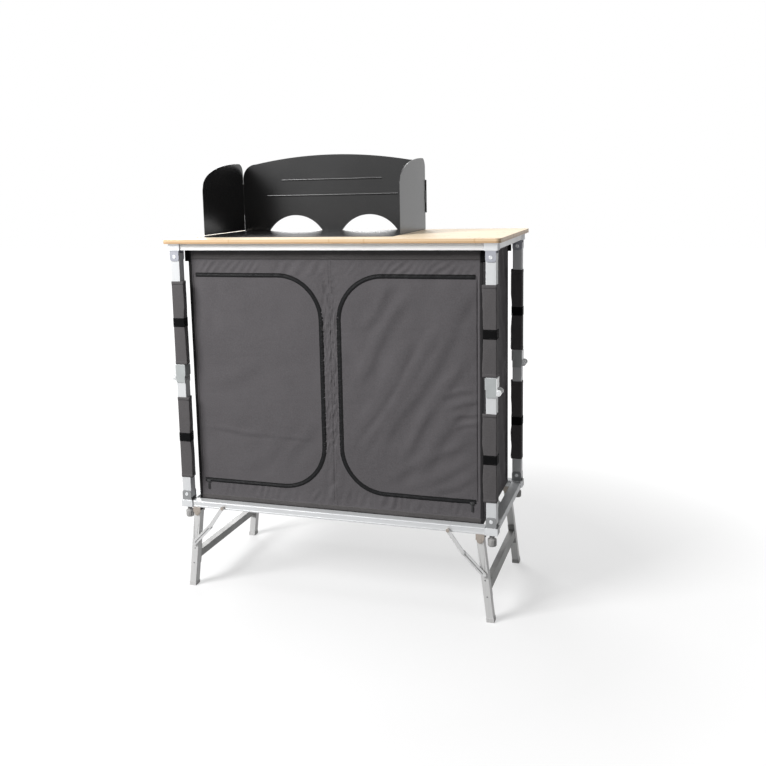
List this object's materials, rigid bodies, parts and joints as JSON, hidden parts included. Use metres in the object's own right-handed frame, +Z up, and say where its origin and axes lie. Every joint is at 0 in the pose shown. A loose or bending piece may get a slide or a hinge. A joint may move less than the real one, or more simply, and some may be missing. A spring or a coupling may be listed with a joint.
{
  "type": "chuck_box",
  "caption": "Folding camp kitchen cupboard: wooden worktop on an aluminium frame, fabric cupboard with zipped doors, folding posts and legs, hinged sheet metal windscreen",
  "frame": {"origin": "On the floor, under the middle of the frame", "axes": "X along the width, right is +X; Y along the depth, the doors and the open side of the windscreen face -Y; Z up"},
  "size_m": [0.99, 0.5, 1.3081],
  "materials": {
    "frame_metal": "satin",
    "hinge_metal": "satin",
    "bracket_paint": "satin",
    "leg_bracket_metal": "satin",
    "steel": "satin",
    "knob_rubber": "matte",
    "black_plastic": "matte",
    "board_plastic": "matte",
    "bamboo": "satin",
    "cloth": "matte",
    "webbing": "matte",
    "zip_black": "satin",
    "screen_paint": "satin"
  },
  "bodies": {
    "base_frame": {"bottom_long_rails": "frame_metal", "bottom_side_rails": "frame_metal", "lower_corner_brackets": "bracket_paint", "levelling_knobs": "knob_rubber", "leg_brackets": "leg_bracket_metal", "base_board": "board_plastic", "cupboard_front": "cloth", "cupboard_back": "cloth", "cupboard_sides": "cloth", "zip_tapes": "zip_black"},
    "front_left_lower": {"front_left_lower_post": "frame_metal", "front_left_hinge_cap": "hinge_metal", "front_left_lower_sleeve": "cloth"},
    "front_left_upper": {"front_left_upper_post": "frame_metal", "front_left_mid_collar": "hinge_metal", "front_left_upper_sleeve": "cloth"},
    "front_right_lower": {"front_right_lower_post": "frame_metal", "front_right_hinge_cap": "hinge_metal", "front_right_lower_sleeve": "cloth"},
    "front_right_upper": {"front_right_upper_post": "frame_metal", "front_right_mid_collar": "hinge_metal", "front_right_upper_sleeve": "cloth"},
    "back_left_lower": {"back_left_lower_post": "frame_metal", "back_left_hinge_cap": "hinge_metal", "back_left_lower_sleeve": "cloth"},
    "back_left_upper": {"back_left_upper_post": "frame_metal", "back_left_mid_collar": "hinge_metal", "back_left_upper_sleeve": "cloth"},
    "back_right_lower": {"back_right_lower_post": "frame_metal", "back_right_hinge_cap": "hinge_metal", "back_right_lower_sleeve": "cloth"},
    "back_right_upper": {"back_right_upper_post": "frame_metal", "back_right_mid_collar": "hinge_metal", "back_right_upper_sleeve": "cloth"},
    "top_frame": {"top_long_rails": "frame_metal", "top_side_rails": "frame_metal", "top_corner_brackets": "bracket_paint", "worktop": "bamboo", "corner_tabs": "webbing", "windscreen_tray": "screen_paint", "windscreen_back": "screen_paint"},
    "shelf": {"shelf": "board_plastic"},
    "left_legs": {"left_front_leg": "frame_metal", "left_back_leg": "frame_metal", "left_crossbar": "frame_metal", "left_leg_fittings": "black_plastic"},
    "left_rail_bars": {"left_strut_rail_bars": "steel"},
    "left_leg_bars": {"left_strut_leg_bars": "steel"},
    "right_legs": {"right_front_leg": "frame_metal", "right_back_leg": "frame_metal", "right_crossbar": "frame_metal", "right_leg_fittings": "black_plastic"},
    "right_rail_bars": {"right_strut_rail_bars": "steel"},
    "right_leg_bars": {"right_strut_leg_bars": "steel"},
    "left_door": {"left_door": "cloth"},
    "left_slider": {"left_zip_slider": "zip_black"},
    "right_door": {"right_door": "cloth"},
    "right_slider": {"right_zip_slider": "zip_black"},
    "windscreen_left_wing": {"windscreen_left_wing": "screen_paint"},
    "windscreen_right_wing": {"windscreen_right_wing": "screen_paint"}
  },
  "joints": [
    {"name": "fold", "type": "hinge", "parent": "base_frame", "child": "front_left_lower", "pos_m": [-0.466, -0.216, 0.293], "axis": [0, 1, 0], "range_deg": [0, 90], "deforming": ["cupboard_front", "cupboard_back", "cupboard_sides", "left_door", "right_door", "zip_tapes"]},
    {"name": "front_left_middle", "type": "hinge", "parent": "front_left_lower", "child": "front_left_upper", "pos_m": [-0.4855, -0.216, 0.654], "axis": [0, -1, 0], "range_deg": [0, 180]},
    {"name": "front_right_fold", "type": "hinge", "parent": "base_frame", "child": "front_right_lower", "pos_m": [0.466, -0.216, 0.293], "axis": [0, -1, 0], "range_deg": [0, 90]},
    {"name": "front_right_middle", "type": "hinge", "parent": "front_right_lower", "child": "front_right_upper", "pos_m": [0.4855, -0.216, 0.654], "axis": [0, 1, 0], "range_deg": [0, 180]},
    {"name": "back_left_fold", "type": "hinge", "parent": "base_frame", "child": "back_left_lower", "pos_m": [-0.466, 0.216, 0.293], "axis": [0, 1, 0], "range_deg": [0, 90]},
    {"name": "back_left_middle", "type": "hinge", "parent": "back_left_lower", "child": "back_left_upper", "pos_m": [-0.4855, 0.216, 0.654], "axis": [0, -1, 0], "range_deg": [0, 180]},
    {"name": "back_right_fold", "type": "hinge", "parent": "base_frame", "child": "back_right_lower", "pos_m": [0.466, 0.216, 0.293], "axis": [0, -1, 0], "range_deg": [0, 90]},
    {"name": "back_right_middle", "type": "hinge", "parent": "back_right_lower", "child": "back_right_upper", "pos_m": [0.4855, 0.216, 0.654], "axis": [0, 1, 0], "range_deg": [0, 180]},
    {"name": "top_level", "type": "hinge", "parent": "front_left_upper", "child": "top_frame", "pos_m": [-0.466, -0.216, 1.015], "axis": [0, 1, 0], "range_deg": [0, 90]},
    {"name": "shelf_drop", "type": "slide", "parent": "base_frame", "child": "shelf", "axis": [0, 0, -1], "range_m": [0, 0.34]},
    {"name": "left_legs_fold", "type": "hinge", "parent": "base_frame", "child": "left_legs", "pos_m": [-0.435, 0, 0.236], "axis": [0, -1, 0], "range_deg": [0, 96.86]},
    {"name": "left_rail_bars_turn", "type": "hinge", "parent": "base_frame", "child": "left_rail_bars", "pos_m": [-0.346, 0, 0.26], "axis": [0, -1, 0], "range_deg": [0, 147.11]},
    {"name": "left_leg_bars_turn", "type": "hinge", "parent": "left_legs", "child": "left_leg_bars", "pos_m": [-0.44647, 0, 0.14069], "axis": [0, -1, 0], "range_deg": [-103.14, 0]},
    {"name": "right_legs_fold", "type": "hinge", "parent": "base_frame", "child": "right_legs", "pos_m": [0.435, 0, 0.236], "axis": [0, 1, 0], "range_deg": [0, 96.86]},
    {"name": "right_rail_bars_turn", "type": "hinge", "parent": "base_frame", "child": "right_rail_bars", "pos_m": [0.346, 0, 0.26], "axis": [0, 1, 0], "range_deg": [0, 147.11]},
    {"name": "right_leg_bars_turn", "type": "hinge", "parent": "right_legs", "child": "right_leg_bars", "pos_m": [0.44647, 0, 0.14069], "axis": [0, 1, 0], "range_deg": [-103.14, 0]},
    {"name": "left_door_open", "type": "hinge", "parent": "base_frame", "child": "left_door", "pos_m": [-0.424, -0.197, 0.647], "axis": [0, 0, -1], "range_deg": [0, 120]},
    {"name": "left_zip", "type": "slide", "parent": "base_frame", "child": "left_slider", "axis": [1, 0, 0], "range_m": [0, 0.237]},
    {"name": "right_door_open", "type": "hinge", "parent": "base_frame", "child": "right_door", "pos_m": [0.424, -0.197, 0.647], "axis": [0, 0, 1], "range_deg": [0, 120]},
    {"name": "right_zip", "type": "slide", "parent": "base_frame", "child": "right_slider", "axis": [-1, 0, 0], "range_m": [0, 0.237]},
    {"name": "left_wing", "type": "hinge", "parent": "top_frame", "child": "windscreen_left_wing", "pos_m": [-0.448, 0.2205, 1.1697], "axis": [0, 0, -1], "range_deg": [0, 270]},
    {"name": "right_wing", "type": "hinge", "parent": "top_frame", "child": "windscreen_right_wing", "pos_m": [0.178, 0.2205, 1.1697], "axis": [0, 0, 1], "range_deg": [0, 270]}
  ],
  "couplings": [
    {"joint": "front_left_middle", "follows": "fold", "ratio": 2},
    {"joint": "front_right_fold", "follows": "fold", "ratio": 1},
    {"joint": "front_right_middle", "follows": "fold", "ratio": 2},
    {"joint": "back_left_fold", "follows": "fold", "ratio": 1},
    {"joint": "back_left_middle", "follows": "fold", "ratio": 2},
    {"joint": "back_right_fold", "follows": "fold", "ratio": 1},
    {"joint": "back_right_middle", "follows": "fold", "ratio": 2},
    {"joint": "top_level", "follows": "fold", "ratio": 1},
    {"joint": "shelf_drop", "follows": "fold", "m_per_rad": 0.21645},
    {"joint": "left_rail_bars_turn", "follows": "left_legs_fold", "ratio": 1.5186},
    {"joint": "left_leg_bars_turn", "follows": "left_legs_fold", "ratio": -1.0647},
    {"joint": "right_rail_bars_turn", "follows": "right_legs_fold", "ratio": 1.5186},
    {"joint": "right_leg_bars_turn", "follows": "right_legs_fold", "ratio": -1.0647}
  ]
}
